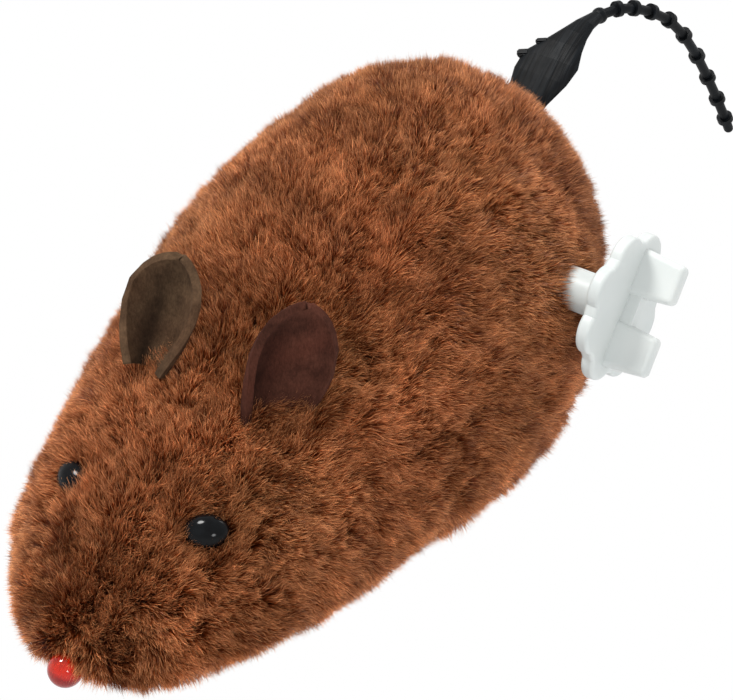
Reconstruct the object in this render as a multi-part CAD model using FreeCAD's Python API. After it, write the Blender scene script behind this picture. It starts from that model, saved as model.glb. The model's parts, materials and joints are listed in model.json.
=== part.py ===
import FreeCAD, Part
import math
import os

# A plush wind-up mouse, in millimetres. The origin is on the floor, in the mouse's plane of
# symmetry, half way along its body. +Z is up, the nose points to -Y, and the winding key is
# on +X, the mouse's left side.

V = FreeCAD.Vector

# ---------------------------------------------------------------- body
BODY_LENGTH = 84.0
SECTION_POWER = 2.24  # 2 is an ellipse, more is squarer
SECTION_POINTS = 20
# Fraction of the length from the nose, half width, top, height of the widest line, lowest point
# of the closed section. The cover and shell are cut off flat above that lowest point.
STATIONS = [
    (0.004, 2.4, 6.4, 4.0, 2.9),
    (0.015, 4.7, 8.8, 4.0, 2.2),
    (0.04, 7.8, 11.6, 4.1, 1.4),
    (0.12, 13.4, 16.2, 4.6, -0.2),
    (0.25, 17.2, 22.0, 5.0, -1.6),
    (0.40, 19.6, 27.4, 5.5, -2.4),
    (0.55, 21.6, 31.3, 5.8, -2.6),
    (0.70, 21.3, 33.6, 6.0, -2.6),
    (0.82, 18.2, 33.4, 6.4, -2.2),
    (0.92, 13.8, 27.6, 7.4, -0.6),
    (0.97, 9.6, 20.6, 8.4, 1.6),
    (0.99, 5.8, 15.8, 9.0, 4.0),
    (0.997, 3.0, 12.6, 9.4, 6.4),
]
END_CAP_WIDTH = 10.0  # narrower than this, a layer is thinned so that it closes at the ends

COVER_THICKNESS = 2.6  # backing cloth and pile
GLUE_GAP = 0.15
SHELL_WALL = 1.2
PLATE_GAP = 0.2
COVER_HEM = 1.8
SHELL_RIM = 2.4

BOSS_BITE = 0.4  # how far the screw bosses run into the shell's wall

SHELL_OUTSIDE = COVER_THICKNESS + GLUE_GAP
SHELL_INSIDE = SHELL_OUTSIDE + SHELL_WALL

# ---------------------------------------------------------------- base plate
PLATE_BOTTOM = 3.0
PLATE_TOP = 4.5
WHEEL_SLOT_MARGIN = 0.5
THROUGH = 60.0  # half the length of a cutter that goes right through
TOLERANCE = 0.01  # for comparing positions

# ---------------------------------------------------------------- clockwork train
# Axes run along X. Places are (y, z).
KEY_AXIS = (17.5, 20.7)
DRIVE_AXIS = (14.0, 9.0)
GEAR_MODULE = 0.4
PRESSURE_ANGLE = math.radians(25)
ADDENDUM = 0.9 * GEAR_MODULE
DEDENDUM = 1.15 * GEAR_MODULE
TOOTH_PLAY = 0.05
WHEEL_TEETH = 28
PINION_TEETH = 10
CENTRE_DISTANCE = GEAR_MODULE * (WHEEL_TEETH + PINION_TEETH) / 2
FLANK_STEPS = 4
MAIN_WHEEL_HOLES = 5
MAIN_WHEEL_HOLE_RADIUS = 0.8
MAIN_WHEEL_HOLE_REACH = 3.2

MAIN_WHEEL_X = (-0.3, 1.1)
IDLER_PINION_X = (-0.5, 1.7)
IDLER_WHEEL_X = (1.7, 3.0)
DRIVE_PINION_X = (1.5, 3.2)

RUNNING_PLAY = 0.05  # radial, of every shaft in its bearing
END_PLAY = 0.1
ARBOR_RADIUS = 1.2
ARBOR_CORE_RADIUS = 1.5
ARBOR_PIVOT_RADIUS = 0.9
ARBOR_OVERLAP = 1.0  # length over which the arbor's steps run into each other
ARBOR_SOCKET = 3.0  # the key's stem is solid for this length under its disc
IDLER_SHAFT_RADIUS = 0.5
AXLE_RADIUS = 0.75

SPRING_X = (-5.4, -0.8)
SPRING_STRIP = 0.22
SPRING_INNER = 1.7
SPRING_OUTER = 5.7
SPRING_TURNS = 8
SPRING_STEPS = 12  # points per turn
SPRING_RELEASE_POWER = 1.5  # how late the last quarter turn opens out
SPRING_POST = (22.0, 14.5)
SPRING_POST_RADIUS = 0.45
SPRING_POST_END = -0.4

# ---------------------------------------------------------------- movement case
CASE_HALF_WIDTH = 6.8
CASE_WALL = 0.9
CASE_BEVEL = 0.5
CASE_BOTTOM = PLATE_TOP
CASE_DRUM = 7.1  # outer radius of the case round the two large gears
CASE_LEFT_EDGE = 5.0
CASE_RIGHT_EDGE = 24.0
CASE_SCREW_PLACES = [(21.5, 8.5), (8.0, 8.2), (9.0, 24.9)]
CASE_BOSS_RADIUS = 1.6
CASE_FOOT_PLACES = [(-3.4, 18.3), (3.4, 18.3)]  # (x, y)
CASE_FOOT_TOP = 8.2
CASE_FOOT_SKIN = 0.6  # over the screw holes in the feet
CASE_COLLAR_START = 4.6
DRIVE_COLLAR_WALL = 1.0
IDLER_COLLAR_WALL = 0.9
CASE_SCREW_SKIN = 2.0  # of the left half beyond the ends of the case screws' holes

# ---------------------------------------------------------------- screws
SCREW_RADIUS = 0.6
SCREW_HOLE_RADIUS = 0.65
SCREW_HEAD_RADIUS = 1.25
SCREW_HEAD_HEIGHT = 0.7
SCREW_SLOT_REACH = 0.8
SCREW_SLOT_HALF_WIDTH = 0.15
SCREW_SLOT_DEPTH = 0.4
SCREW_END_GAP = 0.2  # between the end of a screw and the end of its hole
SHELL_SCREW_LENGTH = 6.0
SHELL_BOSS_RADIUS = 2.2
SHELL_BOSS_PLACES = [(0.0, -31.0), (0.0, 30.0)]

# ---------------------------------------------------------------- wheels
DRIVE_WHEEL_RADIUS = 9.0
RIM_RADIUS = 7.4
WHEEL_X = (10.2, 14.2)
HUB_RADIUS = 1.8
HUB_START = 7.2
WHEEL_FACE_STEP = 0.3  # of the plastic wheel's faces behind the tyre's
WHEEL_DISH = (1.4, 1.2)  # depth of the dished face inside and outside
WHEEL_DISH_DRAFT = 0.4
WHEEL_RIM_WALL = 1.0
TYRE_BEVEL = 0.5
AXLE_END_STEP = 0.2
FRONT_WHEEL_RADIUS = 4.5
FRONT_WHEEL_HALF_WIDTH = 1.6
FRONT_WHEEL_Y = -22.0
FRONT_AXIS = (FRONT_WHEEL_Y, FRONT_WHEEL_RADIUS)  # (y, z)
FRONT_AXLE_RADIUS = 0.6
FORK_X = (2.0, 3.4)
FORK_HALF_LENGTH = 2.4
FORK_TOP = 7.0
FRONT_AXLE_END = 0.4  # of the front pin beyond the fork

# ---------------------------------------------------------------- winding key
STEM_RADIUS = 2.15
STEM_START = 8.6
DISC_X = (25.3, 26.8)
DISC_LOBES = 8
LOBE_ANGLE = 39.5  # of one lobe, from +Y towards +Z
DISC_EDGE = 0.45  # rounding of the rim
DISC_RADIUS = 7.8
DISC_CORE_STEP = 0.9  # of the round core inside the lobes' tips
LOBE_RADIUS = 2.5
LUG_TOP = 31.3
LUG_BASE = (4.9, 2.4)  # along the grip, across it
LUG_TIP = (4.0, 1.7)
LUG_CENTRE = 3.75
LUG_ANGLE = 47.5  # of the grip, from +Y towards +Z
LUG_EDGE = 0.6
GRIP_BITE = 0.2  # how far the grip and the stem run into the disc
WEB_HEIGHT = 1.3
KEY_HOLE_RADIUS = 2.75

# ---------------------------------------------------------------- face and ears
EYE_PLACE = (7.9, -28.7, 15.9)
EYE_RADIUS = 1.7
EYE_INWARD = (-7.9, 2.7, -8.1)
NOSE_PLACE = (0.0, -41.4, 4.3)
NOSE_RADIUS = 1.75
SHANK_RADIUS = 0.5
EYE_SHANK_LENGTH = 5.6
NOSE_SHANK_LENGTH = 3.6
BACKWARD = (0.0, 1.0, 0.0)
SHANK_HOLE_RADIUS = 0.6
POCKET_PLAY = 0.1

# Middle of each ear's foot, its tip, and the way that its cup opens.
EARS = {
    "ear_left": ((8.0, -17.9, 21.6), (7.8, -11.0, 32.8), (0.75, -0.5, 0.35)),
    "ear_right": ((-6.6, -18.2, 22.0), (-6.9, -11.4, 32.6), (0.45, -0.8, 0.4)),
}
EAR_THICKNESS = 1.0
EAR_CUP_RADIUS = 6.5
# Across the ear and up it. It starts below zero, in the pile.
EAR_OUTLINE = [(-2.9, -1.6), (-4.3, 4.0), (-3.6, 9.4), (0.0, 12.9), (3.6, 9.4), (4.3, 4.0), (2.9, -1.6)]

# ---------------------------------------------------------------- tail
TAIL_THICKNESS = 1.2
TAIL_SLOT_PLAY = 0.3
TAIL_SLOT_LENGTH = 12.0
BLADE_SECTION_POINTS = 12
TAIL_NECK_WIDTH = 3.0
TAIL_ANCHOR = (6.0, 2.0, 2.0)  # along X, along the neck, across it
TAIL_NECK_START = (0.0, 34.2, 13.6)
TAIL_NECK_END = (0.0, 40.4, 19.2)
# Centre of the blade and its width.
TAIL_BLADE = [
    (0.0, 40.4, 19.2, 3.2),
    (0.0, 42.6, 21.0, 4.7),
    (0.3, 44.6, 22.6, 6.2),
    (0.6, 46.2, 23.8, 6.4),
    (1.0, 48.0, 24.7, 4.4),
    (1.3, 49.6, 25.3, 3.1),
    (1.6, 51.2, 25.7, 2.2),
    (1.9, 53.6, 25.6, 1.4),
]
WHIP_RADIUS = 0.52
WHIP_RING_RADIUS = 0.86
WHIP_RING_HALF_WIDTH = 0.3
# The rings of the whip, and its tip.
WHIP_RINGS = [
    (1.9, 53.7, 25.5),
    (2.7, 56.0, 25.3),
    (3.4, 58.2, 24.4),
    (4.2, 60.5, 22.9),
    (5.0, 62.9, 20.8),
    (5.7, 65.0, 17.9),
    (6.3, 66.9, 14.4),
    (6.8, 68.5, 10.9),
    (7.3, 69.9, 7.5),
    (7.7, 71.1, 4.4),
]
WHIP_TIP = (7.9, 71.6, 2.9)


# ---------------------------------------------------------------- helpers
def box(x, y, z):
    """A box from three (low, high) pairs."""
    return Part.makeBox(x[1] - x[0], y[1] - y[0], z[1] - z[0], V(x[0], y[0], z[0]))


def drum(radius, x, place):
    """A cylinder along X, between two values of x, at a (y, z) place."""
    return Part.makeCylinder(radius, x[1] - x[0], V(x[0], place[0], place[1]), V(1, 0, 0))


def post(radius, z, place):
    """An upright cylinder at an (x, y) place."""
    return Part.makeCylinder(radius, z[1] - z[0], V(place[0], place[1], z[0]))


def fused(shapes):
    """One solid from overlapping ones."""
    return shapes[0].multiFuse(shapes[1:]).removeSplitter() if len(shapes) > 1 else shapes[0]


def along_x(shape, place):
    """Turns a shape made round +Z so that it lies along +X at a (y, z) place."""
    turned = shape.copy()
    turned.Placement = FreeCAD.Placement(V(0, place[0], place[1]), FreeCAD.Rotation(V(1, 1, 1), 120))
    return turned


def is_flat(edge, axis, value):
    """Whether an edge lies in the plane across an axis at a value."""
    low = getattr(edge.BoundBox, axis + "Min")
    high = getattr(edge.BoundBox, axis + "Max")
    return max(abs(low - value), abs(high - value)) < TOLERANCE


def mirrored(shape):
    """The same shape on the other side of the plane of symmetry."""
    return shape.mirror(V(0, 0, 0), V(1, 0, 0))


def signed_power(value, power):
    return math.copysign(abs(value) ** power, value)


# ---------------------------------------------------------------- body layers
def body_section(station, inset):
    """One closed cross-section of the body, pulled in by inset."""
    t, half_width, top, widest, lowest = station
    pull = inset * min(1.0, half_width / END_CAP_WIDTH)
    y = (t - 0.5) * (BODY_LENGTH - 2 * inset)
    points = []
    for i in range(SECTION_POINTS):
        angle = 2 * math.pi * i / SECTION_POINTS
        across = signed_power(math.cos(angle), 2 / SECTION_POWER)
        up = signed_power(math.sin(angle), 2 / SECTION_POWER)
        height = (top - pull - widest) if up > 0 else (widest - lowest)
        points.append(V((half_width - pull) * across, y, widest + height * up))
    curve = Part.BSplineCurve()
    curve.interpolate(points, PeriodicFlag=True)
    return Part.Wire([curve.toShape()])


def body_layer(inset):
    """The solid inside the body's surface, pulled in by inset."""
    return Part.makeLoft([body_section(station, inset) for station in STATIONS], True, False)


def above(shape, height):
    """The part of a shape above a height."""
    size = 4 * BODY_LENGTH
    return shape.cut(box((-size, size), (-size, size), (-size, height)))


def shank(place, direction, radius, length):
    return Part.makeCylinder(radius, length, V(*place), V(*direction))


def through_z(radius, place=(0.0, 0.0)):
    """A cutter for a hole along Z at an (x, y) place."""
    return post(radius, (-THROUGH, THROUGH), place)


# ---------------------------------------------------------------- gears
def involute(base_radius, radius):
    """The angle an involute has turned by the time that it reaches a radius."""
    if radius <= base_radius:
        return 0.0
    pressure = math.acos(base_radius / radius)
    return math.tan(pressure) - pressure


def gear(teeth, x, tooth_angle):
    """A spur gear along X, centred on the origin, with one tooth centred on tooth_angle."""
    pitch = GEAR_MODULE * teeth / 2
    base = pitch * math.cos(PRESSURE_ANGLE)
    root = pitch - DEDENDUM
    tip = pitch + ADDENDUM
    half_tooth = (math.pi * GEAR_MODULE / 2 - TOOTH_PLAY) / (2 * pitch) + involute(base, pitch)
    start = max(root, base)
    flank = [root] if root < base else []
    flank += [start + (tip - start) * i / FLANK_STEPS for i in range(FLANK_STEPS + 1)]
    points = []
    for tooth in range(teeth):
        centre = tooth_angle + 2 * math.pi * tooth / teeth
        rising = [(radius, centre - half_tooth + involute(base, radius)) for radius in flank]
        falling = [(radius, centre + half_tooth - involute(base, radius)) for radius in reversed(flank)]
        for radius, angle in rising + falling:
            points.append(V(radius * math.cos(angle), radius * math.sin(angle), x[0]))
    face = Part.Face(Part.makePolygon(points + [points[0]]))
    return face.extrude(V(0, 0, x[1] - x[0]))


def direction(start, end):
    """The angle from +Y towards +Z of the line between two (y, z) places."""
    return math.atan2(end[1] - start[1], end[0] - start[0])


def idler_place():
    """Where the idler meshes with both the main wheel and the drive pinion."""
    dy = DRIVE_AXIS[0] - KEY_AXIS[0]
    dz = DRIVE_AXIS[1] - KEY_AXIS[1]
    span = math.hypot(dy, dz)
    offset = math.sqrt(CENTRE_DISTANCE**2 - (span / 2) ** 2)
    middle = ((KEY_AXIS[0] + DRIVE_AXIS[0]) / 2, (KEY_AXIS[1] + DRIVE_AXIS[1]) / 2)
    return (middle[0] + offset * dz / span, middle[1] - offset * dy / span)


IDLER_AXIS = idler_place()


def main_wheel():
    blank = gear(WHEEL_TEETH, MAIN_WHEEL_X, direction(KEY_AXIS, IDLER_AXIS))
    holes = [through_z(ARBOR_RADIUS)]
    reach = MAIN_WHEEL_HOLE_REACH
    for i in range(MAIN_WHEEL_HOLES):
        angle = 2 * math.pi * i / MAIN_WHEEL_HOLES
        place = (reach * math.cos(angle), reach * math.sin(angle))
        holes.append(through_z(MAIN_WHEEL_HOLE_RADIUS, place))
    return along_x(blank.cut(Part.makeCompound(holes)), KEY_AXIS)


def idler_gear():
    gap = math.pi / PINION_TEETH
    pinion = gear(PINION_TEETH, IDLER_PINION_X, direction(IDLER_AXIS, KEY_AXIS) + gap)
    wheel = gear(WHEEL_TEETH, IDLER_WHEEL_X, direction(IDLER_AXIS, DRIVE_AXIS))
    return along_x(pinion.fuse(wheel).cut(through_z(IDLER_SHAFT_RADIUS)), IDLER_AXIS)


def drive_pinion():
    gap = math.pi / PINION_TEETH
    pinion = gear(PINION_TEETH, DRIVE_PINION_X, direction(DRIVE_AXIS, IDLER_AXIS) + gap)
    return along_x(pinion.cut(through_z(AXLE_RADIUS)), DRIVE_AXIS)


def mainspring():
    """A flat spiral round the arbor. Its last quarter turn opens out to lie against the post."""
    post_angle = direction(KEY_AXIS, SPRING_POST)
    reach = math.hypot(SPRING_POST[0] - KEY_AXIS[0], SPRING_POST[1] - KEY_AXIS[1])
    end_radius = reach - SPRING_POST_RADIUS - SPRING_STRIP / 2
    steps = SPRING_TURNS * SPRING_STEPS
    last = SPRING_STEPS // 4
    middle = []
    for i in range(steps + last + 1):
        angle = post_angle + 2 * math.pi * (i - steps - last) / SPRING_STEPS
        if i <= steps:
            radius = SPRING_INNER + (SPRING_OUTER - SPRING_INNER) * i / steps
        else:
            share = (i - steps) / last
            radius = SPRING_OUTER + (end_radius - SPRING_OUTER) * share**SPRING_RELEASE_POWER
        middle.append((angle, radius))
    sides = []
    for side in (-0.5, 0.5):
        points = [
            V((r + side * SPRING_STRIP) * math.cos(a), (r + side * SPRING_STRIP) * math.sin(a), SPRING_X[0])
            for a, r in middle
        ]
        curve = Part.BSplineCurve()
        curve.interpolate(points)
        sides.append((curve.toShape(), points[0], points[-1]))
    ends = [Part.makeLine(sides[0][i], sides[1][i]) for i in (1, 2)]
    outline = Part.Wire(Part.__sortEdges__([sides[0][0], ends[1], sides[1][0], ends[0]]))
    return along_x(Part.Face(outline).extrude(V(0, 0, SPRING_X[1] - SPRING_X[0])), KEY_AXIS)


def spring_arbor():
    """A stepped shaft: a pivot in the right half, the spring's core, then the key's drive."""
    pivot_start = -CASE_HALF_WIDTH + END_PLAY
    core_start = pivot_start + CASE_WALL
    core_end = MAIN_WHEEL_X[0]
    pivot = drum(ARBOR_PIVOT_RADIUS, (pivot_start, core_start + ARBOR_OVERLAP), KEY_AXIS)
    core = drum(ARBOR_CORE_RADIUS, (core_start, core_end), KEY_AXIS)
    rest = drum(ARBOR_RADIUS, (core_end - ARBOR_OVERLAP, DISC_X[0] - ARBOR_SOCKET), KEY_AXIS)
    return fused([pivot, core, rest])


# ---------------------------------------------------------------- movement case
def case_profile(wall, x):
    """The case's side outline, pulled in by a wall thickness, as a block along X."""
    bottom = CASE_BOTTOM + wall
    block = [
        (CASE_LEFT_EDGE + wall, bottom),
        (CASE_RIGHT_EDGE - wall, bottom),
        (KEY_AXIS[0] + CASE_DRUM - wall, KEY_AXIS[1]),
        (KEY_AXIS[0], KEY_AXIS[1] + CASE_DRUM - wall),
        (CASE_SCREW_PLACES[2][0], CASE_SCREW_PLACES[2][1] + CASE_BOSS_RADIUS + CASE_WALL - wall),
        (IDLER_AXIS[0] - CASE_DRUM + wall, IDLER_AXIS[1]),
    ]
    corners = [V(x[0], y, z) for y, z in block]
    prism = Part.Face(Part.makePolygon(corners + [corners[0]])).extrude(V(x[1] - x[0], 0, 0))
    radius = CASE_DRUM - wall
    corner = drum(CASE_BOSS_RADIUS + CASE_WALL - wall, x, CASE_SCREW_PLACES[2])
    return fused([prism, drum(radius, x, KEY_AXIS), drum(radius, x, IDLER_AXIS), corner])


def case_half(side):
    """One half of the case: side is 1 for the left half, on +X, and -1 for the right."""
    outer_x = tuple(sorted((0.0, side * CASE_HALF_WIDTH)))
    inner_x = tuple(sorted((0.0, side * (CASE_HALF_WIDTH - CASE_WALL))))
    side_x = tuple(sorted((0.0, side * THROUGH)))
    block = case_profile(0.0, outer_x)
    face_x = side * CASE_HALF_WIDTH
    face_edges = [edge for edge in block.Edges if is_flat(edge, "X", face_x)]
    top_edges = [edge for edge in face_edges if edge.BoundBox.ZMax > KEY_AXIS[1] + CASE_BOSS_RADIUS]
    block = block.makeChamfer(CASE_BEVEL, top_edges)
    parts = [block.cut(case_profile(CASE_WALL, inner_x))]
    for place in CASE_SCREW_PLACES:
        parts.append(drum(CASE_BOSS_RADIUS, outer_x, place))
    for place in CASE_FOOT_PLACES:
        if place[0] * side > 0:
            parts.append(post(CASE_BOSS_RADIUS, (CASE_BOTTOM, CASE_FOOT_TOP), place))
    collar_x = tuple(sorted((side * CASE_COLLAR_START, side * CASE_HALF_WIDTH)))
    parts.append(drum(AXLE_RADIUS + DRIVE_COLLAR_WALL, collar_x, DRIVE_AXIS))
    parts.append(drum(IDLER_SHAFT_RADIUS + IDLER_COLLAR_WALL, collar_x, IDLER_AXIS))
    half = fused(parts)

    arbor = ARBOR_RADIUS if side > 0 else ARBOR_PIVOT_RADIUS
    holes = []
    for radius, place in ((arbor, KEY_AXIS), (AXLE_RADIUS, DRIVE_AXIS), (IDLER_SHAFT_RADIUS, IDLER_AXIS)):
        holes.append(drum(radius + RUNNING_PLAY, side_x, place))
    for place in CASE_SCREW_PLACES:
        holes.append(drum(SCREW_HOLE_RADIUS, (-THROUGH, CASE_HALF_WIDTH - CASE_SCREW_SKIN), place))
    for place in CASE_FOOT_PLACES:
        holes.append(post(SCREW_HOLE_RADIUS, (0.0, CASE_FOOT_TOP - CASE_FOOT_SKIN), place))
    if side < 0:
        holes.append(drum(SPRING_POST_RADIUS, (-THROUGH, 0.0), SPRING_POST))
    return half.cut(Part.makeCompound(holes))


def screw(length):
    """A pan-head screw with a cross recess, head down, its shank rising from z = 0."""
    head = Part.makeCylinder(SCREW_HEAD_RADIUS, SCREW_HEAD_HEIGHT, V(0, 0, -SCREW_HEAD_HEIGHT))
    body = head.fuse(Part.makeCylinder(SCREW_RADIUS, length, V(0, 0, 0)))
    arm = (-SCREW_SLOT_REACH, SCREW_SLOT_REACH)
    slot = (-SCREW_SLOT_HALF_WIDTH, SCREW_SLOT_HALF_WIDTH)
    depth = (-2 * SCREW_HEAD_HEIGHT, SCREW_SLOT_DEPTH - SCREW_HEAD_HEIGHT)
    return body.cut(box(arm, slot, depth)).cut(box(slot, arm, depth)).removeSplitter()


def case_screws():
    screws = []
    length = 2 * CASE_HALF_WIDTH - CASE_SCREW_SKIN - SCREW_END_GAP
    for place in CASE_SCREW_PLACES:
        one = along_x(screw(length), place)
        one.translate(V(-CASE_HALF_WIDTH, 0, 0))
        screws.append(one)
    return screws


def base_screws():
    screws = []
    foot_length = CASE_FOOT_TOP - CASE_FOOT_SKIN - SCREW_END_GAP - PLATE_BOTTOM
    for places, length in ((SHELL_BOSS_PLACES, SHELL_SCREW_LENGTH), (CASE_FOOT_PLACES, foot_length)):
        for x, y in places:
            one = screw(length)
            one.translate(V(x, y, PLATE_BOTTOM))
            screws.append(one)
    return screws


# ---------------------------------------------------------------- plate, wheels
def base_plate():
    """The flat plate with its wheel slots and the fork that holds the front wheel's pin."""
    size = 2 * BODY_LENGTH
    slab = body_layer(SHELL_INSIDE + PLATE_GAP)
    slab = slab.common(box((-size, size), (-size, size), (PLATE_BOTTOM, PLATE_TOP)))
    fork_y = (FRONT_WHEEL_Y - FORK_HALF_LENGTH, FRONT_WHEEL_Y + FORK_HALF_LENGTH)
    arm = box(FORK_X, fork_y, (PLATE_BOTTOM, FORK_TOP))
    plate = fused([slab, arm, mirrored(arm)])

    depth = (-THROUGH, THROUGH)
    half_chord = math.sqrt(DRIVE_WHEEL_RADIUS**2 - (DRIVE_AXIS[1] - PLATE_TOP) ** 2)
    reach = half_chord + 2 * WHEEL_SLOT_MARGIN
    slot_x = (WHEEL_X[0] - WHEEL_SLOT_MARGIN, WHEEL_X[1] + WHEEL_SLOT_MARGIN)
    slot = box(slot_x, (DRIVE_AXIS[0] - reach, DRIVE_AXIS[0] + reach), depth)
    front = FRONT_WHEEL_RADIUS + WHEEL_SLOT_MARGIN
    front_y = (FRONT_WHEEL_Y - front, FRONT_WHEEL_Y + front)
    cuts = [slot, mirrored(slot), box((-FORK_X[0], FORK_X[0]), front_y, depth)]
    cuts.append(drum(FRONT_AXLE_RADIUS, (-THROUGH, THROUGH), FRONT_AXIS))
    cuts += [through_z(SCREW_HOLE_RADIUS, place) for place in SHELL_BOSS_PLACES + CASE_FOOT_PLACES]
    return plate.cut(Part.makeCompound(cuts))


def turned(profile, place):
    """A solid of revolution along X from (x, radius) points."""
    points = [V(x, place[0], place[1] + radius) for x, radius in profile]
    face = Part.Face(Part.makePolygon(points + [points[0]]))
    return face.revolve(V(0, place[0], place[1]), V(1, 0, 0), 360)


def drive_wheel():
    """A wheel dished on both faces, with a hub that reaches in towards the movement."""
    inner = WHEEL_X[0] + WHEEL_FACE_STEP
    outer = WHEEL_X[1] - WHEEL_FACE_STEP
    dish_in = WHEEL_X[0] + WHEEL_DISH[0]
    dish_out = WHEEL_X[1] - WHEEL_DISH[1]
    rim_foot = RIM_RADIUS - WHEEL_RIM_WALL
    profile = [
        (HUB_START, AXLE_RADIUS),
        (outer, AXLE_RADIUS),
        (outer, HUB_RADIUS),
        (dish_out, HUB_RADIUS + WHEEL_DISH_DRAFT),
        (dish_out, rim_foot - WHEEL_DISH_DRAFT),
        (outer, rim_foot),
        (outer, RIM_RADIUS),
        (inner, RIM_RADIUS),
        (inner, rim_foot),
        (dish_in, rim_foot - WHEEL_DISH_DRAFT),
        (dish_in, HUB_RADIUS + WHEEL_DISH_DRAFT),
        (inner, HUB_RADIUS),
        (HUB_START, HUB_RADIUS),
    ]
    return turned(profile, DRIVE_AXIS)


def bevelled_ring(x, bore, radius, place):
    """A ring along X with its outer corners bevelled."""
    profile = [
        (x[0], bore),
        (x[1], bore),
        (x[1], radius - TYRE_BEVEL),
        (x[1] - TYRE_BEVEL, radius),
        (x[0] + TYRE_BEVEL, radius),
        (x[0], radius - TYRE_BEVEL),
    ]
    return turned(profile, place)


def front_wheel():
    x = (-FRONT_WHEEL_HALF_WIDTH, FRONT_WHEEL_HALF_WIDTH)
    return bevelled_ring(x, FRONT_AXLE_RADIUS + RUNNING_PLAY, FRONT_WHEEL_RADIUS, FRONT_AXIS)


# ---------------------------------------------------------------- key
def lug(offset):
    """One finger lug: a tapered block on the disc, its centre at an offset along the grip."""
    wires = []
    for size, height in ((LUG_BASE, DISC_X[1] - GRIP_BITE), (LUG_TIP, LUG_TOP)):
        a, b = size[0] / 2, size[1] / 2
        corners = [V(offset + sx * a, sy * b, height) for sx, sy in ((-1, -1), (1, -1), (1, 1), (-1, 1))]
        wires.append(Part.makePolygon(corners + [corners[0]]))
    block = Part.makeLoft(wires, True, True)
    edges = [edge for edge in block.Edges if edge.BoundBox.ZMax > DISC_X[1]]
    return block.makeFillet(LUG_EDGE, edges)


def key_disc():
    """The lobed disc, its rim rounded on both sides."""
    thickness = DISC_X[1] - DISC_X[0]
    lobes = [Part.makeCylinder(DISC_RADIUS - DISC_CORE_STEP, thickness, V(0, 0, DISC_X[0]))]
    reach = DISC_RADIUS - LOBE_RADIUS
    for i in range(DISC_LOBES):
        angle = math.radians(LOBE_ANGLE) + 2 * math.pi * i / DISC_LOBES
        centre = V(reach * math.cos(angle), reach * math.sin(angle), DISC_X[0])
        lobes.append(Part.makeCylinder(LOBE_RADIUS, thickness, centre))
    disc = fused(lobes)
    rim = [edge for edge in disc.Edges if edge.BoundBox.ZLength < TOLERANCE]
    return disc.makeFillet(DISC_EDGE, rim)


def winding_key():
    """A lobed disc on a hollow stem, with two lugs and a low web between them as its grip."""
    stem = post(STEM_RADIUS, (STEM_START, DISC_X[0] + GRIP_BITE), (0.0, 0.0))
    half = LUG_TIP[1] / 2
    web_z = (DISC_X[1] - GRIP_BITE, DISC_X[1] + WEB_HEIGHT)
    grip = [box((-LUG_CENTRE, LUG_CENTRE), (-half, half), web_z), lug(-LUG_CENTRE), lug(LUG_CENTRE)]
    for piece in grip:
        piece.rotate(V(0, 0, 0), V(0, 0, 1), LUG_ANGLE)
    bore = post(ARBOR_RADIUS, (0.0, DISC_X[0] - ARBOR_SOCKET), (0.0, 0.0))
    return along_x(fused([key_disc(), stem] + grip).cut(bore), KEY_AXIS)


# ---------------------------------------------------------------- face, ears, tail
def bead(place, inward, radius, length, play=0.0):
    """A round bead with a shank behind it, or with play the space that it needs."""
    ball = Part.makeSphere(radius + play, V(*place))
    pin = SHANK_HOLE_RADIUS if play else SHANK_RADIUS
    return ball.fuse(shank(place, inward, pin, length))


def ear(name, play=0.0):
    """A leaf-shaped piece of a cylinder wall. With play it is the pocket that the ear sits in."""
    base, tip, opening = EARS[name]
    half = EAR_THICKNESS / 2 + play
    wall = through_z(EAR_CUP_RADIUS + half).cut(through_z(EAR_CUP_RADIUS - half))
    wall.translate(V(0, -EAR_CUP_RADIUS, 0))
    widest = max(x for x, z in EAR_OUTLINE)
    points = [V(x * (1 + play / widest), -EAR_CUP_RADIUS, z) for x, z in EAR_OUTLINE]
    curve = Part.BSplineCurve()
    curve.interpolate(points)
    foot = Part.makeLine(points[-1], points[0])
    leaf = Part.Face(Part.Wire([curve.toShape(), foot])).extrude(V(0, 2 * EAR_CUP_RADIUS, 0))
    piece = wall.common(leaf)
    up = (V(*tip) - V(*base)).normalize()
    facing = V(*opening)
    back = (up * facing.dot(up) - facing).normalize()
    across = back.cross(up)
    piece.Placement = FreeCAD.Placement(V(*base), FreeCAD.Rotation(across, back, up, "ZYX"))
    return piece


def whip():
    """The whip: a round cord through its rings, each a short barrel across it, and a round tip."""
    places = [V(*place) for place in WHIP_RINGS + [WHIP_TIP]]
    parts = [Part.makeSphere(WHIP_RADIUS, place) for place in places[1:]]
    for start, end in zip(places, places[1:]):
        along = end - start
        parts.append(Part.makeCylinder(WHIP_RADIUS, along.Length, start, along))
    for before, place, after in zip(places, places[1:], places[2:]):
        along = (after - before).normalize()
        start = place - along * WHIP_RING_HALF_WIDTH
        parts.append(Part.makeCylinder(WHIP_RING_RADIUS, 2 * WHIP_RING_HALF_WIDTH, start, along))
    parts.append(Part.makeSphere(WHIP_RING_RADIUS, places[0]))
    return parts


def blade_section(x, y, z, width, forward):
    """A flat oval across the blade, square to its length."""
    across = V(1, 0, 0)
    up = across.cross(forward)
    points = []
    for i in range(BLADE_SECTION_POINTS):
        angle = 2 * math.pi * i / BLADE_SECTION_POINTS
        offset = across * (width / 2 * math.cos(angle)) + up * (TAIL_THICKNESS / 2 * math.sin(angle))
        points.append(V(x, y, z) + offset)
    curve = Part.BSplineCurve()
    curve.interpolate(points, PeriodicFlag=True)
    return Part.Wire([curve.toShape()])


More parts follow.
